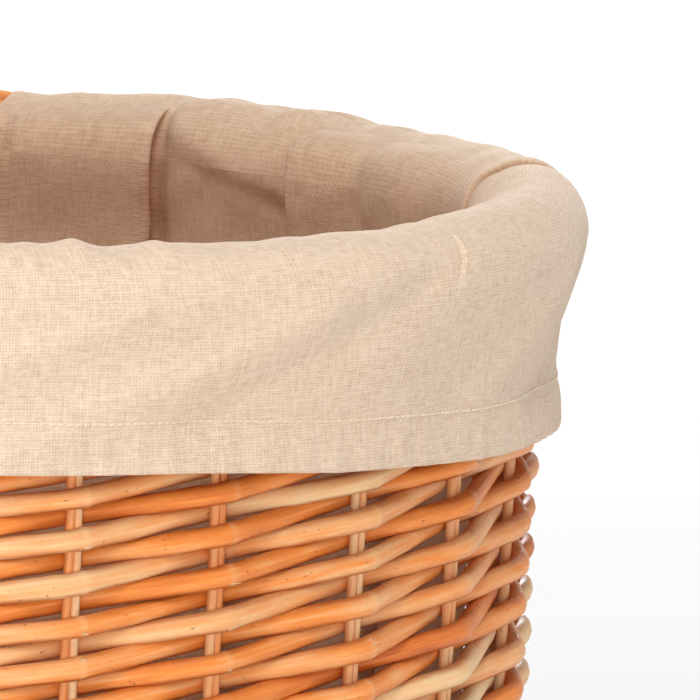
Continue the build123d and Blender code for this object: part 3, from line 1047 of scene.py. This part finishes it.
# ---- materials ----
WILLOW = willow_material("willow", srgb(204, 84, 16), srgb(255, 152, 67), srgb(255, 215, 160))
WILLOW_STAKE = willow_material("willow stake", srgb(204, 92, 32), srgb(255, 170, 98), srgb(255, 224, 172),
                               shade_and_varnish_weight=0.4)
WILLOW_BASE = willow_material("willow base", srgb(120, 66, 34), srgb(188, 116, 66), srgb(224, 160, 104), 0.6)
LINEN = linen_material("linen", srgb(236, 211, 185), srgb(210, 178, 149), srgb(248, 230, 210))
THREAD = linen_material("hem thread", srgb(246, 228, 204), srgb(226, 203, 178), srgb(252, 240, 222))


def place(piece, body, slot, *nodes):
    """Fix a piece to its body, in place of its CAD nodes; slot is not used."""
    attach(piece, body)
    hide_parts(*nodes)
    return piece


# ---- build the basket ----
for bundle, name in zip(wall_rods(), ("randing_lower", "randing_middle", "randing_upper")):
    place(bundle.object(name + "_rods", WILLOW), "basket", "weave_willow", name)

for number, bundle in enumerate(stake_rods(), 1):
    piece = bundle.object(f"stake_{number:02d}_pair", WILLOW_STAKE)
    place(piece, "basket", "stake_willow", f"stake_{number:02d}")

# each wale's lower and upper height, rounds, rod radius, shift outward and first stake
WALES = {
    "top_wale": (445, 473, 5, 2.7, 0, 9),
    "upset_wale": (33.5, 50.5, 3, 2.9, 0, 9),
    "foot_wale": (17, 33, 3, 2.7, 1.2, 1),
}
for name, sizes in WALES.items():
    place(waling(*sizes).object(name + "_rods", WILLOW), "basket", "weave_willow", name)


def notch_lift(theta):
    """The border stands a little prouder between the handle feet, where no cloth presses on it."""
    side = np.minimum(np.abs(angle_gap(theta, 0)), np.abs(angle_gap(theta, 180)))
    return 3.2 * (1 - smoothstep(side, 14, 19))


rim = rolled_border(RIM_RADIUS, 484.2, 13.2, 12.9, 7, 4.0, 5, lift=notch_lift)
place(rim.object("rim_border_rods", WILLOW), "basket", "border_willow", "rim_border")
foot = rolled_border(196.2, 8.2, 8.6, 8.1, 5, 3.0, 6)
place(foot.object("foot_border_rods", WILLOW), "basket", "border_willow", "foot_border")

for side in ("back", "front"):
    bow, wrap = handle(side == "front")
    place(bow.object(f"handle_{side}_bow_rod", WILLOW), "basket", "handle_willow", f"handle_{side}_bow")
    place(wrap.object(f"handle_{side}_winding", WILLOW), "basket", "handle_willow", f"handle_{side}_wrap")

for kind, radius, turned_by in (("slit", SLIT_RADIUS, 0), ("threaded", THREADED_RADIUS, 90)):
    for number, side in enumerate((-1.5, -0.5, 0.5, 1.5), 1):
        # opened out, the sticks make evenly spaced spokes
        bend = 33.75 if abs(side) > 1 else 11.25
        stick = base_stick(bend if side > 0 else -bend, side * (2 * radius + 0.3), radius, turned_by)
        name = f"base_stick_{kind}_{number}"
        place(stick.object(name + "_rod", WILLOW_BASE), "basket", "base_stick_willow", name)

place(base_weave().object("base_weave_rods", WILLOW_BASE), "basket", "base_willow", "base_weave")

# ---- build the liner ----
bag = place(bag_wall(LINEN), "liner", "liner_linen", "liner_wall")
floor_cloth = place(liner_floor(LINEN), "liner", "liner_linen", "liner_floor")

for side, first, last in (("right", 15.12, 164.16), ("left", 195.84, 344.16)):
    cuff = cuff_side(first, last, f"liner_cuff_{side}_cloth", LINEN)
    place(cuff, "liner", "liner_linen", f"liner_cuff_{side}")
    stitches = hem_stitches(first, last, f"liner_hem_{side}_stitches", THREAD)
    place(stitches, "liner", "hem_linen", f"liner_hem_{side}")


# ---- floor, light and camera ----
def floor_material():
    g = Graph("pale floor")
    cloudy = g.noise(g.node("TexCoord")["Object"], 3.0, 2.0)
    color = g.ramp(cloudy, (0.3, (0.93, 0.93, 0.93, 1)), (0.7, (0.96, 0.96, 0.96, 1)))
    return g.finish(color, 0.9)


def studio():
    """A pale floor, and a white world that is dimmer towards the top."""
    mesh = bpy.data.meshes.new("floor")
    mesh.from_pydata([(-6, -6, 0), (6, -6, 0), (6, 6, 0), (-6, 6, 0)], [], [(0, 1, 2, 3)])
    mesh.materials.append(floor_material())
    ground = add_object("floor", mesh)
    world = bpy.data.worlds.new("studio")
    bpy.context.scene.world = world
    world.use_nodes = True
    tree = world.node_tree
    background = tree.nodes["Background"]
    background.inputs["Color"].default_value = (1, 1, 1, 1)
    split = tree.nodes.new("ShaderNodeSeparateXYZ")
    tree.links.new(tree.nodes.new("ShaderNodeTexCoord").outputs["Generated"], split.inputs[0])
    fade = tree.nodes.new("ShaderNodeMapRange")
    for socket, number in zip(fade.inputs[1:5], (0.0, 1.0, 0.66, 0.38)):
        socket.default_value = number
    tree.links.new(split.outputs["Z"], fade.inputs[0])
    tree.links.new(fade.outputs[0], background.inputs["Strength"])
    bpy.context.scene.view_settings.view_transform = "Standard"


def area_light(name, theta, elevation, distance, size, power, target=(0, 0, 0.45)):
    """A round white lamp aimed at target, in metres and watts."""
    data = bpy.data.lights.new(name, "AREA")
    data.shape, data.size, data.energy = "DISK", size, power
    lamp = add_object(name, data)
    a, e = radians(theta), radians(elevation)
    target = Vector(target)
    lamp.location = target + distance * Vector((sin(a) * cos(e), -cos(a) * cos(e), sin(e)))
    lamp.rotation_euler = (target - lamp.location).to_track_quat("-Z", "Y").to_euler()


def camera():
    """A distant camera a little above the rim, tilted and aimed at the rim's right end."""
    azimuth, elevation, roll, distance = radians(1.3), radians(6.3), radians(1.4), 6.0
    centre = Vector((0, 0, 0.5008))
    toward = Vector((sin(azimuth) * cos(elevation), -cos(azimuth) * cos(elevation), sin(elevation)))
    right = Vector((cos(azimuth), sin(azimuth), 0))
    upward = toward.cross(right)
    # where the middle of the picture lies from the rim's centre, across and down the picture
    across, down = 0.1562, 0.0559
    tilted_right = right * cos(roll) + upward * sin(roll)
    tilted_up = upward * cos(roll) - right * sin(roll)
    target = centre + tilted_right * across - tilted_up * down
    place_at = centre + toward * distance
    data = bpy.data.cameras.new("camera")
    width_seen = 0.2006  # metres across the picture at the rim's centre
    data.sensor_width = 36
    data.lens = data.sensor_width * distance / width_seen
    data.clip_end = 100
    view = add_object("camera", data)
    back = (place_at - target).normalized()
    x = tilted_up.cross(back).normalized()
    y = back.cross(x)
    matrix = Matrix((x, y, back)).transposed().to_4x4()
    matrix.translation = place_at
    view.matrix_world = matrix
    bpy.context.scene.camera = view


studio()
area_light("key", -4, 1, 3.6, 0.8, 26, target=(0, 0, 0.36))
area_light("high key", -2, 38, 3.0, 0.7, 20)
area_light("side", -52, 14, 2.8, 1.0, 11)
area_light("overhead", 40, 76, 2.6, 1.2, 19)
area_light("background", 180, 27, 5.4, 3.0, 480, target=(0, 4.8, 0))
camera()
